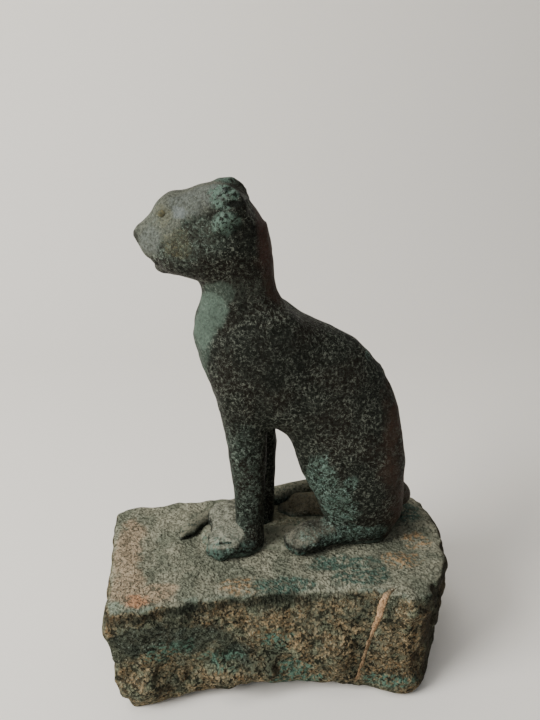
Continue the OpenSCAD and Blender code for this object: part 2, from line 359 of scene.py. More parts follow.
def build_cat(pitch):
    clay = Clay((-58, -26, -3), (66, 26, 156), pitch)
    clay.add(Column(TRUNK, egg=0.06, power=2.25))
    for side in (LEFT, RIGHT):
        clay.add(Column(mirrored(THIGH, side), egg=-0.05), 5)
        clay.add(Column(set_back(mirrored(FORELEG, side), side), egg=0.1), 4)
        clay.add(Ball((-4, side * 9, 84), (15, 7, 19), tip=-14), 8)
    clay.add(Turned(Snout(HEAD, egg=0.12, power=2.3)), 6)
    for side in (LEFT, RIGHT):
        add_head_side(clay, side)
        add_hind_foot(clay, side)
        add_paw(clay, side)
    clay.cut(Limb([(1.6, across, 46, 0.9) for across in (-20, 20)], flat=3), 2)
    clay.roughen(SKIN)
    clay.above(-0.6)
    return clay.mesh("cat_body", CAT_AT)


def add_head_side(clay, side):
    cheek = Ball((-31, side * 8.4, 125.5), (11, 6.0, 6.6))
    brow = Limb(to_side([(-40.6, 5.0, 141.4, 1.8), (-37, 7.6, 143.2, 2.0), (-31, 9, 143.2, 1.6)], side))
    whisker_pad = Ball((-45.0, side * 4.4, 127.0), (4.0, 3.4, 3.8))
    chin = Ball((-41.9, side * 1.2, 119.1), (3.6, 4.4, 2.5))
    crown = Ball((-24, side * 5.5, 143.5), (8, 6, 5))
    for shape, blend in ((cheek, 5), (brow, 3), (whisker_pad, 3), (chin, 1.5), (crown, 4)):
        clay.add(Turned(shape), blend)
    eye_hollow = [(-42.0, 7.6, 138.6, 0.6), (-38.6, 9.6, 139.8, 0.7), (-35.2, 11.2, 140.4, 0.6)]
    mouth = [(-49.5, 1.0, 123.4, 0.6), (-45.5, 6.4, 121.8, 0.6), (-40, 9.8, 122.2, 0.4)]
    clay.cut(Turned(Limb(to_side(eye_hollow, side))), 1.6)
    clay.cut(Turned(Limb(to_side(mouth, side))), 1.0)
    add_ear(clay, side)


# Small pits and knobs of the corroded ear: x, y, height and radius
EAR_PITS = [
    (-22.6, 12.8, 144.4, 0.6), (-14.6, 13.8, 141.4, 0.9), (-20.8, 16.0, 138.8, 0.6),
    (-17.0, 16.6, 136.8, 0.7), (-13.6, 13.2, 146.4, 0.8), (-23.6, 13.2, 141.2, 0.6),
]
EAR_KNOBS = [
    (-15.6, 13.0, 146.2, 1.1), (-12.8, 12.2, 145.0, 1.2), (-13.4, 13.2, 142.6, 0.9),
    (-20.8, 12.0, 145.8, 1.0), (-18.2, 15.6, 139.8, 0.9), (-21.8, 14.4, 137.0, 0.9),
    (-11.8, 11.8, 140.6, 1.0),
]


def add_ear(clay, side):
    """A worn ear: a lumpy rim over a deep hollow, and a smooth lobe that sticks out below it."""
    rim = [
        (-24.4, 8.0, 145.2, 2.4), (-21.4, 9.6, 147.4, 2.6), (-17.6, 10.8, 147.6, 2.4),
        (-14.6, 11.0, 145.8, 2.3), (-13.0, 10.4, 142.4, 2.4), (-12.6, 9.0, 138.4, 2.6),
    ]
    lobe = [
        (-12.8, 12.4, 142.2, 1.5), (-15.8, 14.0, 140.2, 2.0), (-18.8, 14.3, 137.4, 2.3),
        (-21.4, 13.4, 134.6, 1.8),
    ]
    clay.add(Turned(Limb(to_side(rim, side))), 2.6)
    clay.add(Turned(Ball((-18.6, side * 9.0, 142.0), (5.5, 4.6, 5.5))), 3)
    clay.add(Turned(Limb(to_side(lobe, side))), 1.8)
    hollow = [
        (-22.0, 15.2, 139.0, 0.5), (-19.8, 15.0, 141.2, 0.9), (-17.2, 14.6, 143.6, 1.2),
        (-12.6, 13.6, 144.0, 0.9),
    ]
    clay.cut(Turned(Limb(to_side(hollow, side))), 0.6)
    clay.cut(Turned(Limb([(-18.4, side * 16.0, 131.8, 1.4), (-12.6, side * 14.4, 135.8, 2.0)])), 2.0)
    clay.cut(Turned(Ball((-22.6, side * 12.6, 148.6), (1.5, 1.8, 1.6))), 0.8)
    clay.cut(Turned(Ball((-16.2, side * 13.4, 148.4), (1.2, 2.0, 1.5))), 0.8)
    for *at, r in to_side(EAR_PITS, side):
        clay.cut(Turned(Ball(at, (r, 1.4 * r, r))), 0.5)
    for *at, r in to_side(EAR_KNOBS, side):
        clay.add(Turned(Ball(at, (r, r, r))), 0.8)


def add_hind_foot(clay, side):
    sunk = 0 if side == LEFT else 4.0
    foot = [(46, side * 3.0, 5.2, 5.2), (27, side * 10.2, 4.9, 5.4), (12.5, side * 13.8, 5.2 - sunk, 6.2)]
    clay.add(Limb(foot), 3)
    for x, y in ((8.2, 9.4), (5.2, 12.2), (5.2, 15.4), (7.6, 18.6)):
        clay.add(Limb([(x + 6, side * y, 5.8 - sunk, 2.8), (x, side * y, 3.4 - sunk, 3.0)]), 1.2)
    if side == LEFT:
        clay.cut(Limb([(4, -10.5, 9.6, 0.8), (9, -14, 11.8, 0.7), (15, -19, 9.4, 0.6)]), 0.8)
        clay.cut(Limb([(9, -9.5, 12.2, 0.6), (14, -12, 12.6, 0.6), (19, -14, 12.0, 0.5)]), 0.8)


def add_paw(clay, side):
    middle = -10.6 if side == LEFT else 6.2
    clay.add(Ball((-18.5, middle, 2.4), (10.8, 7.8, 6.6), turn=side * -6), 4)
    clay.add(Ball((-20.5, -2.2, 1.6), (7.6, 6, 5.0)), 3)
    for x, across in ((-25.0, -6.2), (-27.2, -2.2), (-27.0, 1.8), (-25.0, 5.4)):
        y = middle + across
        clay.add(Limb([(x + 6, y, 4.8, 3.0), (x, y, 3.2, 3.1)]), 1.4)
    if side == LEFT:
        clay.cut(Ball((-20.5, -11.5, 10.2), (6.6, 5.4, 1.9), tip=-6), 1.0)
        clay.cut(Limb([(-26.5, -16.5, 5.2, 0.7), (-22, -17.4, 6.4, 0.6), (-16, -18.2, 5.0, 0.6)]), 0.8)
        clay.add(Limb([(-28.2, -15.2, 1.8, 2.6), (-24.5, -17.6, 1.4, 2.4)]), 1.4)


# ---------------- tail and eyes
TAIL_LINE = [
    (0, 50, 2, 20, 4.4), (1, 55.5, 6, 12, 5.6), (2, 56.8, 12.5, 6.8, 5.7), (3, 51, 19.5, 5, 5.5),
    (4, 40, 22.2, 4.6, 5.4), (5, 24, 22.4, 4.4, 5.3), (6, 8, 21.6, 3.6, 5.0), (7, -6, 19.4, 2.2, 4.4),
    (8, -20, 15, 0.9, 3.7), (9, -31, 8.6, 0.7, 3.5), (10, -38, 1.6, 1.0, 2.8), (11, -41.5, -2.6, 0.3, 1.5),
]


def build_tail(pitch):
    clay = Clay((-48, -8, -3), (66, 32, 27), pitch)
    route = curve_through(TAIL_LINE, np.linspace(0, 11, 30)).T
    clay.add(Limb(route))
    clay.add(Ball((-38.5, 2.6, 0.2), (4.4, 4.0, 3.0), turn=-60), 2.5)
    clay.roughen(SKIN)
    clay.above(-0.8)
    return clay.mesh("tail_body", CAT_AT)


def build_eye(side, name):
    clay = Clay((-44, min(side * 12, side * 4), 136), (-34, max(side * 12, side * 4), 145), 0.25)
    clay.add(Turned(Ball((-38.9, side * 7.3, 140.1), (3.4, 0.95, 1.7), turn=side * -24, tip=14)))
    return clay.mesh(name, CAT_AT)


# ---------------- the block
PLAN = [
    (-67.6, -34.6), (-52, -34.4), (-33, -32.4), (5, -32.6), (35, -35.4), (48.6, -39.6), (58, -33.4),
    (71.4, -12), (75.2, 1), (75.0, 17), (70, 33), (46, 40), (0, 40), (-34, 38), (-62, 36.4), (-74.4, 30),
]
FRONT_VIEW = [
    (-61.5, -2), (-64.8, 6), (-68.0, 20), (-71.0, 36), (-73.6, 46), (-73.0, 50), (72, 50),
    (75.2, 44), (74.4, 30), (69, 12), (62.5, -2),
]
END_VIEW = [
    (-36, -2), (-39.5, 10), (-39.5, 42), (-37, 48.6), (-33, 50), (37, 50), (39, 44), (39, 8), (35, -2),
]
ARCH_X, ARCH_HALF, ARCH_RISE = -6, 50, 5.5
BREAK_AT = np.array([29.0, -37.0, 25.0])
BREAK_TURN, BREAK_LEAN = math.radians(38), math.radians(9)
FILLER_PROUD, FILLER_LAP, MEET_ON_TOP = 0.5, 0.25, 1.2
# The bedding under the cat: depth of its pocket, how far it laps the stone, and its outline
BED_DEPTH, BED_LAP = 2.5, 1.5
BED = [
    (-34, 4), (-33, -6), (-27, -11.5), (0, -14), (20, -13), (44, -9), (55, 0), (57, 14), (48, 26),
    (20, 26.5), (-14, 27), (-25, 20), (-33, 12),
]
# How far the top of the front face leans back, at places along X, and where the lean begins
LEAN_X = [-64, -47, -31, -21, -12, 0, 33, 40, 47]
LEAN_BACK = [0.5, 2.5, 2.5, 3.5, 5.0, 6.0, 6.0, 3.0, 0.0]
LEAN_FROM, LEAN_POWER = 34, 1.5
LEAN_FRONT, LEAN_FADE = -8, 22
# Lumps of the stone: size across, depth and seed
STONE = [(24, 0.8, 11), (9, 0.9, 12), (4.4, 1.0, 13), (2.3, 0.75, 14)]


def break_distance(x, y, z):
    """How far past the break a place is, along the line square to it."""
    way = (
        math.cos(BREAK_LEAN) * math.sin(BREAK_TURN),
        -math.cos(BREAK_LEAN) * math.cos(BREAK_TURN),
        -math.sin(BREAK_LEAN),
    )
    return way[0] * (x - BREAK_AT[0]) + way[1] * (y - BREAK_AT[1]) + way[2] * (z - BREAK_AT[2])


def carve_front(clay):
    """The groove under the front edge, the smooth dark trough, the chip and the lumps."""
    clay.cut(Limb([
        (-70, -36.5, 45.2, 1.6), (-48, -36.4, 45.0, 1.8), (-24, -34.4, 45.8, 1.7), (2, -34.6, 46.6, 1.2),
    ]), 1.5)
    clay.cut(Limb([(2, -34.0, 47.2, 0.7), (20, -35.2, 46.8, 0.9), (34, -37.0, 47.0, 0.7)]), 1.0)
    clay.cut(Limb([(-66, -43.2, 37, 6), (-44, -43.8, 34, 7.4), (-22, -42.8, 25, 6)]), 4)
    clay.cut(Ball((4.8, -37.6, 42.4), (9, 3.0, 4.6), tip=6), 0.6)
    clay.cut(Limb([(4, -36.6, 43.4, 1.8), (15, -37.0, 44.0, 2.1), (28, -38.0, 43.8, 1.9)]), 0.8)
    clay.cut(Limb([
        (-1.6, -35.6, 48, 0.7), (-1.2, -36.4, 42.5, 0.8), (5, -37.0, 39.4, 0.8), (14, -37.2, 40.2, 0.6),
    ]), 0.6)
    clay.cut(Limb([(8, -37.6, 35, 0.5), (13, -38.0, 30, 0.7), (18, -38.2, 26.5, 0.5)]), 0.8)
    clay.cut(Ball((-34, -38.4, 15), (16, 1.6, 5)), 2)
    clay.add(Ball((15, -33.6, 24), (12, 4.6, 8)), 3)
    clay.add(Ball((-56, -33.0, 11), (8, 4.2, 7)), 4)
    clay.add(Ball((48, -34.5, 6.5), (9.5, 5.5, 7)), 3.5)
    clay.add(Ball((-18, -33.4, 14), (14, 4.2, 5)), 3)


def carve_top(clay):
    """Hollows and ridges of the top face."""
    clay.cut(Limb([(-60, -17, 51.2, 1.6), (-50, -21.5, 51.2, 1.8), (-39, -25.5, 51.4, 1.6)]), 1.2)
    clay.cut(Ball((2.5, -17.2, 51.4), (3.4, 2.4, 2.2)), 0.8)
    clay.cut(Ball((-30, -17, 54), (13, 8, 5)), 4)
    clay.cut(Ball((52, -6, 54.4), (12, 9, 5.4)), 4)
    clay.cut(Ball((-56, 6, 55.4), (14, 18, 5.8)), 4)
    clay.add(Ball((62, 16, 48.2), (8, 12, 3.2)), 3)


def block_clay(pitch):
    """The whole block before it broke."""
    clay = Clay((-78, -45, -4), (78, 44, 56), pitch)
    x, y, z = clay.places()
    body = smooth_max(outline_distance(PLAN, x, y), outline_distance(FRONT_VIEW, x, z), 5)
    body = smooth_max(body, outline_distance(END_VIEW, y, z), 4)
    radius = (ARCH_HALF**2 + ARCH_RISE**2) / (2 * ARCH_RISE)
    arch = radius - np.hypot(x - ARCH_X, z - (ARCH_RISE - radius))
    clay.field = smooth_max(body, arch, 2.5).astype(np.float32)
    carve_front(clay)
    carve_top(clay)
    top_share = (1 - 0.62 * np.clip((z - 44) / 5, 0, 1)) * (0.35 + 0.65 * np.clip((z - 3) / 7, 0, 1))
    clay.roughen(STONE, top_share)
    clay.above(0)
    return clay


def build_block(pitch):
    """The plinth, its broken corner, the filler between them and the bedding under the cat."""
    whole = block_clay(pitch)
    x, y, z = whole.places()
    past = break_distance(x, y, z) + 1.3 * whole.lumps(11, 21) + 0.5 * whole.lumps(4, 22)
    # The filler stands proud high on the front face. On top the stones meet over it.
    showing = np.clip((z - 28) / 8, 0, 1) * np.clip((-27 - y) / 5, 0, 1)
    on_top = np.clip((z - 45) / 3, 0, 1) * (1 - showing)
    width = 0.5 + 0.3 * whole.lumps(12, 23) + 0.55 * showing + 0.9 * on_top
    rim = outline_distance(BED, x, y - CAT_Y)
    pocket = np.maximum(rim, (TOP - BED_DEPTH) - z)
    meet = MEET_ON_TOP * on_top
    plinth = np.maximum(np.maximum(whole.field, past - meet), -(pocket + BED_LAP))
    corner = np.maximum(whole.field, width - past - meet)
    proud = FILLER_PROUD * (showing - on_top)
    sheet = np.abs(past - width / 2) - width / 2 - FILLER_LAP
    filler = np.maximum(whole.field - proud, sheet)
    rise = TOP - 0.7 + np.clip(-rim / 2, 0, 1) + 0.4 * whole.lumps(7, 24) + 0.16 * whole.lumps(2.2, 25)
    under = (TOP - BED_DEPTH + 0.1) - z
    bedding = smooth_max(np.maximum(pocket + 0.8 * whole.lumps(6, 26), under), z - rise, 2.4)
    for field, name, node, slot in (
        (plinth, "plinth_block", "plinth", "plinth_stone"),
        (corner, "plinth_broken_corner", "plinth_corner", "corner_stone"),
        (filler, "corner_filler", "corner_joint_fill", "joint_filler"),
        (bedding, "bedding_pad", "bedding_mortar", "bedding"),
    ):
        whole.field = field.astype(np.float32)
        piece = whole.mesh(name)
        lean_back(piece.data)
        yield piece, node, slot


def lean_back(mesh):
    """The upper front face leans back, most of all right of the middle. All the block's pieces move alike."""
    spots = np.empty(3 * len(mesh.vertices), np.float32)
    mesh.vertices.foreach_get("co", spots)
    spots = spots.reshape(-1, 3) / MM
    x, y, z = spots.T
    most = np.interp(x, LEAN_X, LEAN_BACK)
    high = np.clip((z - LEAN_FROM) / (TOP - LEAN_FROM), 0, 1)
    forward = np.clip((LEAN_FRONT - y) / LEAN_FADE, 0, 1)
    spots[:, 1] += most * high**LEAN_POWER * forward
    mesh.vertices.foreach_set("co", (spots * MM).ravel())
    mesh.update()


# ---------------- materials
SPECULAR, BUMP_STRENGTH = 0.07, 0.9
PATTERN_STEP = 17.0


class Paint:
    """Builds one material from masks and colours. Sizes are in millimetres, and spots start from origin."""

    def __init__(self, name, origin=(0, 0, 0)):
        self.origin = np.array(origin, float)
        self.material = bpy.data.materials.new(name)
        self.material.use_nodes = True
        self.tree = self.material.node_tree
        self.shader = self.tree.nodes["Principled BSDF"]
        self.seed = 0
        place = self.add("ShaderNodeTexCoord").outputs["Object"]
        self.place = self.vector("SCALE", place, 1 / MM)
        self.normal = self.add("ShaderNodeNewGeometry").outputs["Normal"]

    def add(self, kind, **settings):
        node = self.tree.nodes.new(kind)
        for name, value in settings.items():
            setattr(node, name, value)
        return node

    def join(self, socket, value):
        if isinstance(value, bpy.types.NodeSocket):
            self.tree.links.new(value, socket)
        else:
            socket.default_value = value

    def vector(self, operation, a, b):
        node = self.add("ShaderNodeVectorMath", operation=operation)
        self.join(node.inputs[0], a)
        self.join(node.inputs["Scale" if operation == "SCALE" else 1], b)
        return node.outputs["Value" if operation in ("LENGTH", "DOT_PRODUCT") else "Vector"]

    def math(self, operation, a, b=0.0):
        node = self.add("ShaderNodeMath", operation=operation)
        self.join(node.inputs[0], a)
        self.join(node.inputs[1], b)
        return node.outputs[0]

    def noise(self, size, detail, bend=0.0):
        """Cloudy noise from 0 to 1 with features size mm across. Each call gives a new pattern."""
        self.seed += 1
        node = self.add("ShaderNodeTexNoise", noise_dimensions="3D")
        self.join(node.inputs["Vector"], self.vector("ADD", self.place, (PATTERN_STEP * self.seed, 5.0, 3.0)))
        self.join(node.inputs["Scale"], 1 / size)
        self.join(node.inputs["Detail"], detail)
        self.join(node.inputs["Distortion"], bend)
        return node.outputs["Fac"]

    def grains(self, size):
        """Distance to the middle of the nearest grain, 0 at its middle."""
        node = self.add("ShaderNodeTexVoronoi")
        self.join(node.inputs["Vector"], self.place)
        self.join(node.inputs["Scale"], 1 / size)
        return node.outputs["Distance"]

    def between(self, value, low, high):
        """0 below low, 1 above high, eased between. A low above high turns it round."""
        node = self.add("ShaderNodeMapRange", interpolation_type="SMOOTHSTEP")
        self.join(node.inputs["Value"], value)
        self.join(node.inputs["From Min"], min(low, high))
        self.join(node.inputs["From Max"], max(low, high))
        self.join(node.inputs["To Min"], float(low > high))
        self.join(node.inputs["To Max"], float(low <= high))
        return node.outputs[0]

    def cloud(self, size, detail, low, high, bend=0.0):
        """Noise turned into patches."""
        return self.between(self.noise(size, detail, bend), low, high)

    def coat(self, below, above, *masks):
        """One colour over another, as much as the masks and shares multiplied say."""
        return self.blend(self.times(*masks), below, above)

    def times(self, *masks):
        result = masks[0]
        for mask in masks[1:]:
            result = self.math("MULTIPLY", result, mask)
        return result

    def either(self, *masks):
        result = masks[0]
        for mask in masks[1:]:
            result = self.math("MAXIMUM", result, mask)
        return result

    def worms(self, size, width):
        """Thin wandering lines, where the noise passes through its middle."""
        ridge = self.math("ABSOLUTE", self.math("SUBTRACT", self.noise(size, 1.5, 0.8), 0.5))
        return self.between(ridge, width, 0.0)

    def patch(self, spot, ragged=0.5, size=4.0):
        """A soft-edged spot with a ragged border. The spot is x, y, z and its three radii."""
        offset = self.vector("SUBTRACT", self.place, tuple(self.origin + spot[:3]))
        reach = self.vector("LENGTH", self.vector("DIVIDE", offset, spot[3:]), (0, 0, 0))
        wobble = self.math("MULTIPLY", self.math("SUBTRACT", self.noise(size, 3), 0.5), 2 * ragged)
        return self.between(self.math("ADD", reach, wobble), 1.15, 0.7)

    def spots(self, spots, **looks):
        return self.either(*[self.patch(spot, **looks) for spot in spots])

    def facing(self, way, low, high):
        return self.between(self.vector("DOT_PRODUCT", self.normal, way), low, high)

    def along(self, axis, low, high):
        """A mask that goes from 0 to 1 between two places along an axis."""
        node = self.add("ShaderNodeSeparateXYZ")
        self.join(node.inputs[0], self.place)
        return self.between(node.outputs[axis], low, high)

    def blend(self, mask, below, above):
        node = self.add("ShaderNodeMix", data_type="RGBA")
        self.join(node.inputs[0], mask)
        for socket, value in ((node.inputs[6], below), (node.inputs[7], above)):
            self.join(socket, value if isinstance(value, bpy.types.NodeSocket) else (*value, 1.0))
        return node.outputs[2]

    def level(self, mask, below, above):
        """A number that goes from below to above as the mask goes from 0 to 1."""
        return self.math("ADD", self.math("MULTIPLY", mask, above - below), below)

    def finish(self, colour, roughness, bumps, metallic=0.0):
        """bumps are pairs of a height from 0 to 1 and its depth in millimetres."""
        self.join(self.shader.inputs["Base Color"], colour)
        self.join(self.shader.inputs["Roughness"], roughness)
        self.join(self.shader.inputs["Metallic"], metallic)
        self.join(self.shader.inputs["Specular IOR Level"], SPECULAR)
        total = None
        for value, depth in bumps:
            part = self.math("MULTIPLY", value, depth * MM)
            total = part if total is None else self.math("ADD", total, part)
        bump = self.add("ShaderNodeBump")
        self.join(bump.inputs["Height"], total)
        self.join(bump.inputs["Distance"], 1.0)
        self.join(bump.inputs["Strength"], BUMP_STRENGTH)
        self.join(self.shader.inputs["Normal"], bump.outputs["Normal"])
        return self.material


def both_sides(*spots):
    """Spots of the left side and the same on the right."""
    return [*spots, *to_side(spots, -1)]


BLACK_GREEN, BLACK_BROWN = (0.006, 0.007, 0.005), (0.008, 0.006, 0.004)
MOTTLE, SPECKLE = (0.028, 0.032, 0.025), (0.14, 0.152, 0.122)
VERDIGRIS, TURQUOISE = (0.1, 0.148, 0.118), (0.11, 0.185, 0.148)
RUST = (0.044, 0.025, 0.017)
SALMON, CRUST_DARK = (0.38, 0.205, 0.112), (0.009, 0.01, 0.007)
SAND_GRAIN = (0.37, 0.375, 0.3)


def patina(paint, pale_zones, rust_zones):
    """Dark bronze with fine pale lines, more of them in the pale zones. Gives colour, lines and tooth."""
    ground = paint.blend(paint.cloud(16, 3, 0.42, 0.6), BLACK_GREEN, BLACK_BROWN)
    mottle = paint.cloud(2.6, 4, 0.46, 0.66)
    tooth = paint.cloud(0.95, 2, 0.44, 0.58, 0.5)
    worn = paint.times(tooth, paint.level(mottle, 0.35, 1.0))
    ground = paint.coat(ground, MOTTLE, worn)
    ground = paint.coat(ground, RUST, rust_zones, paint.level(paint.noise(3, 3), 0.1, 1.3))
    wash = paint.times(pale_zones, paint.level(tooth, 0.15, 1.0), paint.cloud(2.4, 3, 0.32, 0.62))
    ground = paint.coat(ground, (0.07, 0.1, 0.078), wash)
    density = paint.level(paint.cloud(12, 3, 0.34, 0.62), 0.55, 1.0)
    density = paint.math("SUBTRACT", density, paint.times(rust_zones, 0.4))
    density = paint.math("ADD", density, paint.times(pale_zones, 0.3))
    lines = paint.either(paint.worms(1.7, 0.05), paint.worms(1.0, 0.035))
    broken = paint.cloud(1.4, 2, 0.43, 0.56)
    shown = paint.math("MINIMUM", paint.times(lines, broken, density), 0.95)
    line_colour = paint.blend(pale_zones, SPECKLE, (0.17, 0.245, 0.205))
    colour = paint.blend(shown, ground, line_colour)
    return colour, lines, tooth


def bronze_material():
    paint = Paint("bronze_patina", CAT_AT)
    throat = paint.spots([(-25, -8, 105, 6.6, 11, 7.5), (-28, -6, 97, 5.4, 10, 8)], ragged=0.45, size=6)
    breast = paint.spots([(-30, -5, 86, 4.4, 10, 13), (-23, -10, 111, 7, 7, 5)], ragged=0.8)
    throat = paint.either(throat, paint.times(breast, 0.42))
    collar = paint.patch((-14, -11, 113, 13, 8, 4.5), size=6)
    nape_rust_and_rim_light = paint.patch((-4, -6, 131, 5, 10, 14), ragged=0.4, size=5)
    shoulder = paint.patch((-4, -14, 88, 17, 9, 12), size=9)
    foreleg = paint.patch((-15, -12, 34, 9, 9, 30), size=8)
    haunch = paint.spots([
        (16, -15, 33, 7, 9, 14), (22, -17, 20, 10, 9, 12), (27, -17, 7, 22, 9, 5),
        (28.5, -17, 34, 3.4, 5, 4), (26, -17, 29, 2.4, 5, 3), (18, 16, 24, 9, 9, 20),
        (-20, -12, 4, 10, 10, 4.5), (36, -8, 84, 2.2, 9, 2.2),
    ], ragged=0.7, size=5)
    head = paint.spots([
        (-31, 0, 146, 15, 17, 9), (-40, 0, 138, 9, 14, 10), (-47, -1, 131, 7, 9, 8),
    ], ragged=0.22, size=9)
    cheek = paint.patch((-33, 0, 133, 17, 22, 12), ragged=0.4, size=7)
    ear_spots = both_sides((-20, -12, 146.5, 5.5, 6, 5), (-18.8, -15, 137.4, 5.6, 6, 4.2))
    ear = paint.spots(ear_spots, ragged=0.4, size=3)
    ear_hollow_shade = paint.spots(both_sides((-15.6, -12, 143.8, 4.2, 7, 1.2)), size=2.5)
    behind_ear_shadow = paint.spots(both_sides((-12.5, -12, 134.5, 5, 6, 3.6)), ragged=0.4, size=3)
    rust = paint.spots([
        (-5, 0, 131, 7, 13, 15), (45, 0, 42, 10, 20, 30), (51, 0, 22, 14, 20, 24), (-2, 0, 112, 5, 12, 10),
    ], ragged=0.6, size=8)
    pale = paint.either(haunch, paint.times(throat, 0.5), paint.times(ear, 0.7),
                        paint.times(cheek, 0.45), paint.times(foreleg, 0.38))
    colour, lines, tooth = patina(paint, pale, rust)
    colour = paint.coat(colour, (0.034, 0.038, 0.029), collar, paint.level(tooth, 0.15, 0.55))
    # Partly painted light: the nape's red-brown patina is laid on paler than the bronze around it, standing
    # in for rim light along the back of the neck.
    colour = paint.coat(colour, (0.05, 0.028, 0.023), nape_rust_and_rim_light, paint.level(tooth, 0.4, 0.8))
    colour = paint.coat(colour, BLACK_GREEN, shoulder, 0.38)
    grime = paint.cloud(0.9, 3, 0.62, 0.42)
    soft = paint.level(grime, 0.35, 1.0)
    colour = paint.coat(colour, (0.056, 0.062, 0.048), cheek, paint.level(grime, 0.02, 0.42))
    colour = paint.coat(colour, (0.094, 0.13, 0.103), throat, paint.level(grime, 0.62, 1.0), 0.9)
    colour = paint.coat(colour, (0.134, 0.141, 0.113), head, soft, 0.9)
    # Painted sheen: bluish-grey spots on the crown, brow and muzzle stand in for a soft reflection.
    painted_sheen = paint.spots([(-24, -8, 147, 7, 7, 5), (-46, -4, 130, 5, 6, 5), (-33, -9, 144, 7, 7, 5)], size=5)
    colour = paint.coat(colour, (0.108, 0.124, 0.122), painted_sheen, soft, 0.5)
    head_pits = paint.times(head, paint.cloud(1.2, 3, 0.53, 0.6, 0.8))
    colour = paint.coat(colour, (0.04, 0.044, 0.034), head_pits, 0.42)
    colour = paint.coat(colour, (0.2, 0.215, 0.178), head, lines, 0.3)
    colour = paint.coat(colour, VERDIGRIS, ear, paint.cloud(1.6, 3, 0.4, 0.54))
    # Painted shade: the ear's deep hollow is coloured near black.
    colour = paint.coat(colour, (0.008, 0.009, 0.007), ear_hollow_shade)
    # Painted shadow: the undercut below the ear lobe is darkened, as the lobe shades it.
    colour = paint.coat(colour, (0.008, 0.008, 0.006), behind_ear_shadow, 0.6)
    ear_pits = paint.times(ear, paint.cloud(1.1, 3, 0.54, 0.6, 0.8))
    colour = paint.coat(colour, (0.012, 0.013, 0.01), ear_pits, 0.85)
    teal = paint.times(haunch, paint.cloud(3.2, 3, 0.54, 0.68))
    colour = paint.coat(colour, TURQUOISE, teal, paint.level(lines, 0.2, 0.75))
    gold = paint.spots([(-36, -12, 130, 6, 7, 5), (-41, -6, 139.5, 3.6, 5, 4)], ragged=0.9)
    colour = paint.coat(colour, (0.13, 0.125, 0.07), gold, paint.level(lines, 0.1, 0.55))
    glint = paint.spots(both_sides((-35.2, -11, 140.4, 3.2, 6, 2.6)), size=2)
    colour = paint.coat(colour, (0.18, 0.205, 0.205), glint, 0.5)
    nose = paint.patch((-52.4, 0, 130, 2.4, 4, 3), ragged=0.3)
    colour = paint.coat(colour, (0.02, 0.02, 0.016), nose, 0.8)
    settled = paint.times(paint.facing((0, 0, 1), 0.35, 0.85), paint.along("Z", TOP + 13, TOP + 8))
    dust = paint.blend(paint.along("X", -2, 3), (0.262, 0.266, 0.206), (0.172, 0.166, 0.127))
    dust_cover = paint.times(settled, soft, paint.level(paint.cloud(3.0, 3, 0.36, 0.56), 0.45, 0.92))
    colour = paint.coat(colour, dust, dust_cover)
    # Partly painted light: the far hind foot's dusty brown is made brighter than its dust, as if lit where it
    # lies in shade.
    far_foot_dust_and_light = paint.patch((18, 13, 5, 16, 8, 8), ragged=0.4)
    colour = paint.coat(colour, (0.15, 0.132, 0.086), far_foot_dust_and_light, soft, 0.85)
    toe_green = paint.spots([(-27, -17, 2.5, 5, 5, 3.4), (6, -20, 1.8, 5, 6, 2.6)], size=3)
    toe_mask = paint.times(toe_green, paint.cloud(1.4, 3, 0.4, 0.55), 0.55)
    colour = paint.coat(colour, TURQUOISE, toe_mask)
    foot_line = paint.times(paint.along("Z", TOP + 2.6, TOP + 0.2), paint.cloud(2.5, 3, 0.35, 0.6))
    colour = paint.coat(colour, (0.1, 0.14, 0.11), foot_line, 0.6)
    roughness = paint.level(paint.either(throat, head, settled), 0.54, 0.8)
    bumps = ((lines, 0.14), (tooth, 0.16), (paint.noise(0.8, 3), 0.4), (paint.noise(4.5, 3), 0.9))
    return paint.finish(colour, roughness, bumps)


def tail_material():
    paint = Paint("tail_patina", CAT_AT)
    pale = paint.spots([(-40, 4, 3, 8, 8, 5), (8, 17, 5, 14, 6, 6)], ragged=0.6)
    rust = paint.patch((56, 8, 16, 12, 12, 16), ragged=0.6, size=7)
    colour, lines, tooth = patina(paint, paint.times(pale, 0.5), rust)
    dusty = paint.times(paint.facing((0, 0, 1), 0.15, 0.7), paint.along("Z", TOP + 15, TOP + 9),
                        paint.cloud(1.4, 3, 0.28, 0.5))
    colour = paint.coat(colour, (0.185, 0.182, 0.132), dusty, 0.9)
    flecks = paint.cloud(1.3, 3, 0.52, 0.6, 0.6)
    colour = paint.coat(colour, (0.05, 0.056, 0.04), flecks, 0.7)
    bumps = ((lines, 0.12), (tooth, 0.14), (paint.noise(0.8, 3), 0.35))
    return paint.finish(colour, paint.level(dusty, 0.6, 0.85), bumps)


def eye_material():
    paint = Paint("eye_inlay")
    worn = paint.cloud(0.9, 3, 0.4, 0.6)
    colour = paint.blend(worn, (0.062, 0.064, 0.044), (0.125, 0.114, 0.066))
    colour = paint.coat(colour, (0.09, 0.1, 0.075), paint.cloud(0.4, 2, 0.58, 0.7))
    return paint.finish(colour, paint.level(worn, 0.5, 0.7), ((paint.noise(0.5, 3), 0.12),), metallic=0.2)


def granules(paint, size):
    """Sand grains and the dark pits between them: grain tops and pits, both from 0 to 1."""
    near = paint.grains(size)
    cluster = paint.noise(size * 2.2, 3, 0.4)
    grain = paint.between(paint.math("SUBTRACT", near, paint.times(cluster, 0.55)), 0.34, 0.06)
    pits = paint.cloud(size * 1.15, 3, 0.5, 0.6, 0.6)
    return grain, pits


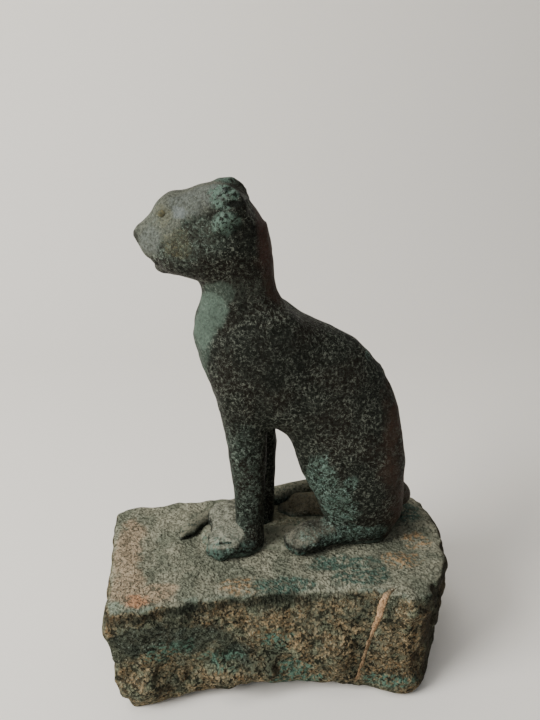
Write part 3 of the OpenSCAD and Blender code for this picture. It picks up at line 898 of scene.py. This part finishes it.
def stone_material(name, sandy=False):
    """The crusted stone. The filler of the break is the same, with bare sandy filler at its upper end."""
    paint = Paint(name)
    up = paint.times(paint.facing((0, 0, 1), 0.7, 0.9), paint.along("Z", TOP - 6, TOP - 2.5))
    grain, pits = granules(paint, 1.25)
    fine = paint.noise(0.55, 3)
    clouds = paint.cloud(11, 4, 0.38, 0.62)

    # Sides: dark green crust under ochre grains
    side = paint.blend(clouds, (0.03, 0.037, 0.025), (0.062, 0.068, 0.046))
    ochre_area = paint.cloud(19, 3, 0.4, 0.56)
    ochre_area = paint.either(ochre_area, paint.spots([
        (-60, -36, 13, 13, 12, 13), (16, -36, 26, 18, 8, 16), (-18, -36, 12, 16, 8, 7),
        (50, -36, 26, 14, 14, 22), (-63, -36, 44, 12, 8, 5), (12, -36, 43, 22, 8, 5),
    ], size=7))
    trough = paint.spots([
        (-53, -38, 36, 14, 10, 8), (-34, -38, 32, 16, 10, 8.5), (-19, -38, 24, 9, 10, 6),
    ], ragged=0.4, size=6)
    ochre_area = paint.math("SUBTRACT", ochre_area, paint.times(trough, 0.75))
    tan = paint.blend(paint.cloud(2.6, 3, 0.35, 0.65), (0.15, 0.1, 0.05), (0.29, 0.22, 0.125))
    tan = paint.coat(tan, (0.16, 0.165, 0.105), paint.cloud(6, 3, 0.5, 0.66))
    side = paint.coat(side, tan, ochre_area, paint.level(grain, 0.35, 1.0))
    pale_grain = paint.times(paint.between(fine, 0.56, 0.66), paint.level(clouds, 0.25, 0.8))
    side = paint.coat(side, (0.23, 0.235, 0.175), pale_grain)
    side = paint.coat(side, (0.036, 0.044, 0.034), trough, 0.7)
    flecks = paint.times(trough, paint.cloud(0.9, 2, 0.58, 0.66, 0.5))
    side = paint.coat(side, (0.17, 0.205, 0.165), flecks, 0.6)
    # Painted shade: the right end of the front face is darkened, as the light falls off there.
    right_end_shade = paint.patch((64, -36, 24, 11, 12, 27), ragged=0.4, size=7)
    side = paint.coat(side, (0.034, 0.032, 0.021), right_end_shade, 0.58)
    moss = paint.cloud(13, 3, 0.5, 0.62)
    side = paint.coat(side, (0.085, 0.098, 0.068), moss, 0.45)
    teal = paint.spots([
        (-44, -38, 28, 12, 9, 6), (-26, -38, 22, 12, 9, 5), (-4, -37, 30, 7, 8, 5), (4, -36, 14, 10, 8, 6),
        (2, -36, 8, 14, 10, 3), (42, -36, 9, 12, 10, 4),
    ], ragged=0.8)
    side = paint.coat(side, (0.08, 0.138, 0.102), teal, paint.cloud(1.6, 3, 0.4, 0.58))
    side = paint.coat(side, CRUST_DARK, pits, paint.level(clouds, 0.92, 0.66))

    # Top: dust over grey-green, with pink and ochre places
    top = paint.blend(clouds, (0.14, 0.148, 0.108), (0.25, 0.246, 0.18))
    pink = paint.spots([
        (-64, 4, 50, 7, 22, 6), (-62, -20, 50, 8, 12, 6), (-50, -24, 50, 9, 6, 6),
    ], ragged=0.6, size=7)
    top = paint.coat(top, (0.33, 0.245, 0.16), pink, 0.75)
    salmon = paint.patch((-57, -28.5, 50, 5, 3.6, 5), ragged=0.7, size=3)
    top = paint.coat(top, SALMON, salmon, 0.9)
    ochre = paint.spots([
        (-17.5, -23, 50, 9, 5, 5), (50, -13, 50, 9, 6, 5), (60, -2, 50, 6, 6, 5),
    ], ragged=0.7)
    top = paint.coat(top, (0.3, 0.205, 0.11), ochre, paint.cloud(1.8, 3, 0.42, 0.58))
    green = paint.spots([
        (31, -22, 50, 13, 7, 5), (24, -14, 50, 14, 5, 5), (-66, -31, 50, 4, 4, 6), (0, -24, 50, 12, 5, 5),
        (60, 16, 50, 8, 9, 5),
    ], ragged=0.7, size=6)
    teal_top = paint.times(green, paint.cloud(1.7, 3, 0.36, 0.56))
    top = paint.coat(top, (0.054, 0.1, 0.078), teal_top, 0.92)
    worn_corner = paint.patch((-67, -32, 48, 5, 4.5, 5), ragged=0.4, size=3)
    top = paint.coat(top, (0.235, 0.264, 0.198), worn_corner, 0.8)
    top = paint.coat(top, (0.05, 0.054, 0.038), pits, paint.level(paint.noise(6, 2), 0.25, 1.05))
    top = paint.coat(top, SAND_GRAIN, paint.between(fine, 0.6, 0.68), 0.5)

    colour = paint.blend(up, side, top)
    rim = paint.times(paint.along("Z", TOP - 3.2, TOP - 1.4), paint.along("Z", TOP - 0.2, TOP - 1.2),
                      paint.facing((0, -1, 0), 0.25, 0.6), paint.cloud(4, 3, 0.42, 0.55))
    colour = paint.coat(colour, (0.17, 0.21, 0.165), rim, 0.7)
    groove = paint.times(paint.along("Z", TOP - 7, TOP - 5), paint.along("Z", TOP - 2.6, TOP - 3.6),
                         paint.facing((0, -1, 0), 0.0, 0.3), paint.along("X", 26, 0))
    colour = paint.coat(colour, CRUST_DARK, groove, 0.6)
    # Painted shade: faces turned to +X, away from the window light, are darkened.
    end = paint.facing((1, 0, 0), 0.3, 0.65)
    colour = paint.coat(colour, (0.018, 0.012, 0.007), end, 0.72)
    if sandy:
        upper = paint.patch((36, -37, 41, 12, 9, 12), ragged=0.3)
        lower = paint.patch((29, -37, 21, 8, 9, 13))
        bare = paint.either(upper, paint.times(lower, 0.6))
        filler = paint.blend(paint.cloud(2.2, 3, 0.38, 0.62), (0.3, 0.185, 0.1), (0.48, 0.31, 0.18))
        colour = paint.coat(colour, filler, bare)
    bumps = ((grain, 0.4), (paint.math("SUBTRACT", 1.0, pits), 0.6), (fine, 0.35), (paint.noise(3.2, 3), 1.3))
    return paint.finish(colour, paint.level(paint.noise(2, 3), 0.78, 0.96), bumps)


def bedding_material():
    paint = Paint("dusty_bedding", CAT_AT)
    colour = paint.blend(paint.cloud(7, 3, 0.36, 0.64), (0.14, 0.15, 0.108), (0.25, 0.248, 0.182))
    teal = paint.spots([
        (24, -18, 0, 20, 7, 5), (-32, -8, 0, 6, 8, 5), (6, 10, 0, 12, 10, 6), (44, -10, 0, 12, 8, 5),
    ], ragged=0.7, size=5)
    colour = paint.coat(colour, (0.08, 0.12, 0.094), teal, paint.cloud(1.8, 3, 0.42, 0.6), 0.8)
    brown = paint.patch((2, 10, 1, 16, 9, 5), size=5)
    colour = paint.coat(colour, (0.12, 0.1, 0.06), brown, 0.55)
    pits = paint.cloud(1.3, 3, 0.54, 0.62, 0.6)
    colour = paint.coat(colour, (0.055, 0.06, 0.042), pits, 0.7)
    colour = paint.coat(colour, SAND_GRAIN, paint.cloud(0.6, 2, 0.6, 0.68), 0.5)
    bumps = ((paint.noise(0.6, 3), 0.25), (paint.math("SUBTRACT", 1.0, pits), 0.35), (paint.noise(3, 3), 0.4))
    return paint.finish(colour, 0.92, bumps)


def plain_grit(name, dark, pale, size, roughness, metallic=0.0):
    """A material for a part that the skin hides: two tones of grit with a fine bump."""
    paint = Paint(name)
    colour = paint.blend(paint.cloud(size, 4, 0.38, 0.62), dark, pale)
    colour = paint.coat(colour, tuple(c * 0.45 for c in dark), paint.worms(size * 0.4, 0.05), 0.5)
    bumps = ((paint.noise(size * 0.3, 3), 0.2), (paint.noise(size, 2), 0.3))
    return paint.finish(colour, roughness, bumps, metallic)


# ---------------- all the pieces
def in_place(piece, node, slot, material):
    piece.data.materials.append(material)
    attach(piece, "root")
    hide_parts(node)


FINE = 0.65
COARSE = 0.8
stone = stone_material("stone_crust")
materials = {
    "plinth_stone": stone, "corner_stone": stone, "bedding": bedding_material(),
    "joint_filler": stone_material("sandy_filler", sandy=True),
}
bronze = bronze_material()
in_place(build_cat(FINE), "cat_casting", "patinated_bronze", bronze)
in_place(build_tail(FINE), "tail", "tail_bronze", tail_material())
eye_colour = eye_material()
in_place(build_eye(LEFT, "left_eye"), "left_eye_inlay", "eye_inlay", eye_colour)
in_place(build_eye(RIGHT, "right_eye"), "right_eye_inlay", "eye_inlay", eye_colour)
for piece, node, slot in build_block(COARSE):
    in_place(piece, node, slot, materials[slot])

INNER = {
    "casting_core": plain_grit("fired_clay", (0.06, 0.04, 0.028), (0.13, 0.09, 0.06), 2.2, 0.92),
    "core_pins": plain_grit("rusty_iron", (0.07, 0.026, 0.012), (0.2, 0.085, 0.035), 1.2, 0.85, 0.2),
    "tenon_grout": plain_grit("lime_grout", (0.4, 0.36, 0.29), (0.56, 0.52, 0.44), 2.0, 0.92),
}
cast_bronze = plain_grit("bare_bronze", (0.16, 0.1, 0.042), (0.3, 0.2, 0.09), 1.8, 0.5, 0.8)
for node in ("left_fore_tenon", "right_fore_tenon", "rear_tenon"):
    INNER[node] = cast_bronze
for node, material in INNER.items():
    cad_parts[node].material_slots[0].material = material

# ---------------- stage, light and camera
CAMERA_AT = (-0.02325, -0.22429, 0.226)
CAMERA_PITCH = math.radians(22)
CAMERA_HEADING = math.radians(5)
CAMERA_LENS, CAMERA_SENSOR, CAMERA_NEAR = 32.0, 36.0, 0.01
AIM, DAYLIGHT = (0, 0, 0.1), (1.0, 0.985, 0.95)
PAPER, SKY = (0.85, 0.82, 0.765, 1), (0.93, 0.95, 1.0, 1)


def add_camera():
    data = bpy.data.cameras.new("camera")
    data.lens = CAMERA_LENS
    data.sensor_width = CAMERA_SENSOR
    data.clip_start = CAMERA_NEAR
    camera = new_object("camera", data)
    camera.location = CAMERA_AT
    camera.rotation_euler = (math.pi / 2 - CAMERA_PITCH, 0, -CAMERA_HEADING)
    bpy.context.scene.camera = camera


def add_area(name, at, towards, size, power, colour=(1, 1, 1)):
    data = bpy.data.lights.new(name, "AREA")
    data.shape = "DISK"
    data.size = size
    data.energy = power
    data.color = colour
    light = new_object(name, data)
    light.location = at
    light.rotation_euler = (Vector(towards) - Vector(at)).to_track_quat("-Z", "Y").to_euler()


def add_backdrop():
    """Pale paper that lies flat under the figure and sweeps up behind it."""
    width, front, bend_at, radius, high, steps = 2.5, -1.5, 0.35, 0.35, 2.5, 24
    profile = [(front, 0.0)]
    for k in range(steps + 1):
        angle = math.pi / 2 * k / steps
        profile.append((bend_at + radius * math.sin(angle), radius * (1 - math.cos(angle))))
    profile.append((bend_at + radius, high))
    corners = [(x, y, z) for y, z in profile for x in (-width, width)]
    faces = [(2 * k, 2 * k + 1, 2 * k + 3, 2 * k + 2) for k in range(len(profile) - 1)]
    mesh = bpy.data.meshes.new("backdrop")
    mesh.from_pydata(corners, [], faces)
    mesh.polygons.foreach_set("use_smooth", [True] * len(faces))
    backdrop = new_object("backdrop", mesh)
    material = bpy.data.materials.new("backdrop_paper")
    material.use_nodes = True
    shader = material.node_tree.nodes["Principled BSDF"]
    shader.inputs["Base Color"].default_value = PAPER
    shader.inputs["Roughness"].default_value = 0.9
    mesh.materials.append(material)


def add_sky(strength):
    world = bpy.data.worlds.new("studio")
    world.use_nodes = True
    background = world.node_tree.nodes["Background"]
    background.inputs["Color"].default_value = SKY
    background.inputs["Strength"].default_value = strength
    bpy.context.scene.world = world


add_camera()
add_backdrop()
add_sky(strength=0.22)
add_area("window", (-0.8, -0.36, 0.62), AIM, size=0.55, power=15.0, colour=DAYLIGHT)
add_area("fill", (0.1, -0.9, 0.7), AIM, size=0.6, power=1.0)
add_area("backdrop_light", (-0.5, -0.2, 1.5), (0.1, 0.7, 0.5), size=0.9, power=9.0, colour=DAYLIGHT)
